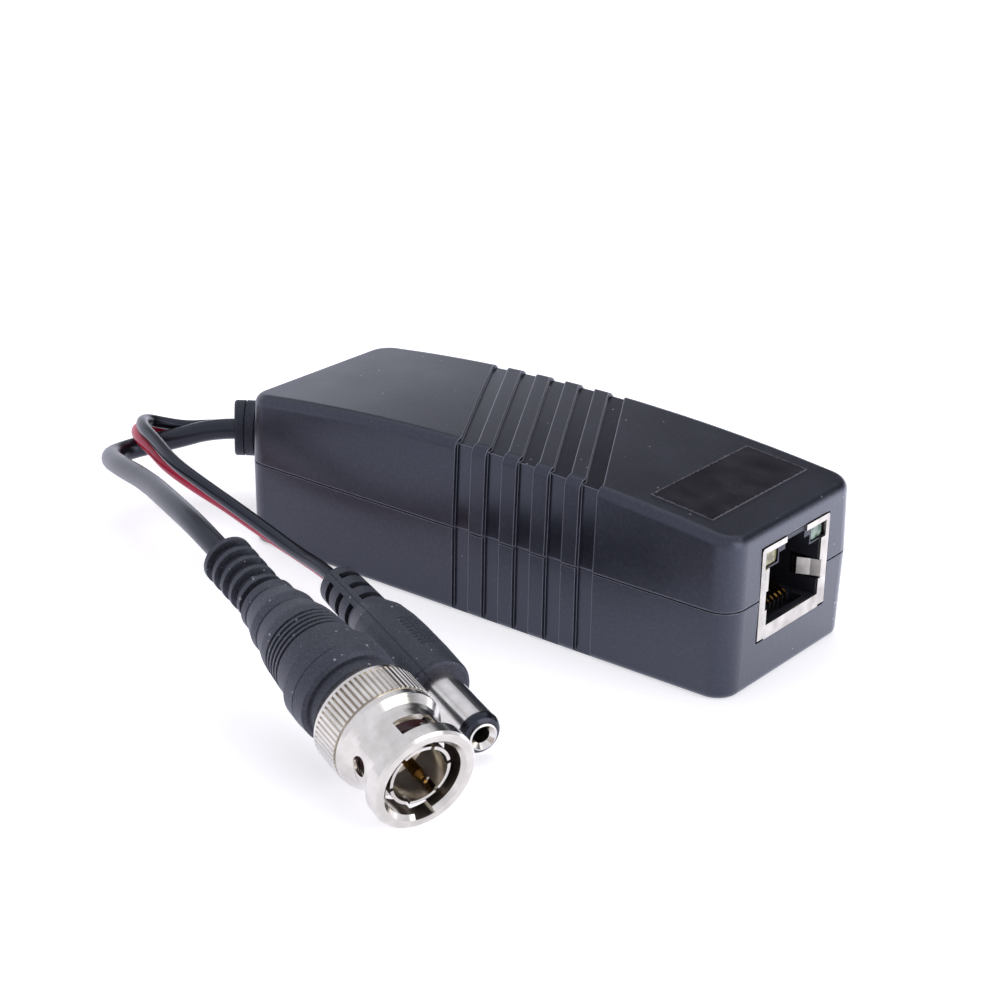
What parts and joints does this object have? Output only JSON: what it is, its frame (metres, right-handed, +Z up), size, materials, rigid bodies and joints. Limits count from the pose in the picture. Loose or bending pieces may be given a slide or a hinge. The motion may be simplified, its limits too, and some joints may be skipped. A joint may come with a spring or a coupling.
{
  "type": "video balun",
  "caption": "Passive video balun in a two-part plastic housing, with a shielded RJ45 jack at one end and leads to a BNC plug and a DC power plug at the other.",
  "frame": {"origin": "middle of the housing's base, on the surface it stands on", "axes": "+X along the housing towards the jack, +Z up, -Y the side where the leads lie"},
  "size_m": [0.1036, 0.0842, 0.0244],
  "materials": {
    "housing_plastic": "moulded dark grey, finely textured",
    "label_film": "dark printed film, slightly glossy",
    "relief_rubber": "soft black, matte",
    "boot_pvc": "soft black, matte",
    "coax_jacket": "black jacket, satin",
    "black_insulation": "black jacket, satin",
    "red_insulation": "red jacket, satin",
    "nickel": "nickel plate, bright",
    "jack_nickel": "nickel-plated sheet",
    "core_plastic": "dark grey moulding",
    "gold": "gold flash",
    "yellow_lens": "yellow-tinted light",
    "green_lens": "green-tinted light",
    "tin": "tinned wire and solder",
    "board": "green board",
    "ferrite": "dark grey ferrite",
    "enamel": "enamelled copper",
    "suppressor": "black component case",
    "dielectric": "grey-brown insulator",
    "gasket": "dark red gasket",
    "spring": "spring steel",
    "tip_ring": "black insulator"
  },
  "bodies": {
    "housing": {"lower_housing": "housing_plastic", "upper_housing": "housing_plastic", "label": "label_film", "circuit_board": "board", "jack_shield": "jack_nickel", "jack_insulator": "core_plastic", "jack_contacts": "gold", "left_led": "yellow_lens", "right_led": "green_lens", "led_leads": "tin", "balun_core": "ferrite", "balun_windings": "enamel", "surge_suppressors": "suppressor", "coax_tail": "coax_jacket", "coax_conductors": "tin", "black_tail": "black_insulation", "red_tail": "red_insulation", "solder_joints": "tin", "bend_relief": "relief_rubber", "coax_cable": "coax_jacket", "black_wire": "black_insulation", "red_wire": "red_insulation", "bnc_body": "nickel", "bnc_dielectric": "dielectric", "bnc_pin": "gold", "bnc_gasket": "gasket", "wave_washer": "spring", "bnc_boot": "boot_pvc", "dc_moulding": "boot_pvc", "dc_barrel": "nickel", "dc_insulator": "tip_ring", "dc_inner_sleeve": "nickel"},
    "washer": {"slip_washer": "spring"},
    "sleeve": {"coupling_sleeve": "nickel"}
  },
  "joints": [
    {"name": "sleeve_push", "type": "slide", "parent": "housing", "child": "washer", "axis": [0.9283, -0.3106, -0.2045], "range_m": [0, 0.0008], "stiffness_N_per_m": 2000, "deforming": ["wave_washer"]},
    {"name": "sleeve_turn", "type": "hinge", "parent": "washer", "child": "sleeve", "pos_m": [0.02385, -0.06049, 0.00814], "axis": [0.9283, -0.3106, -0.2045], "continuous": true}
  ]
}
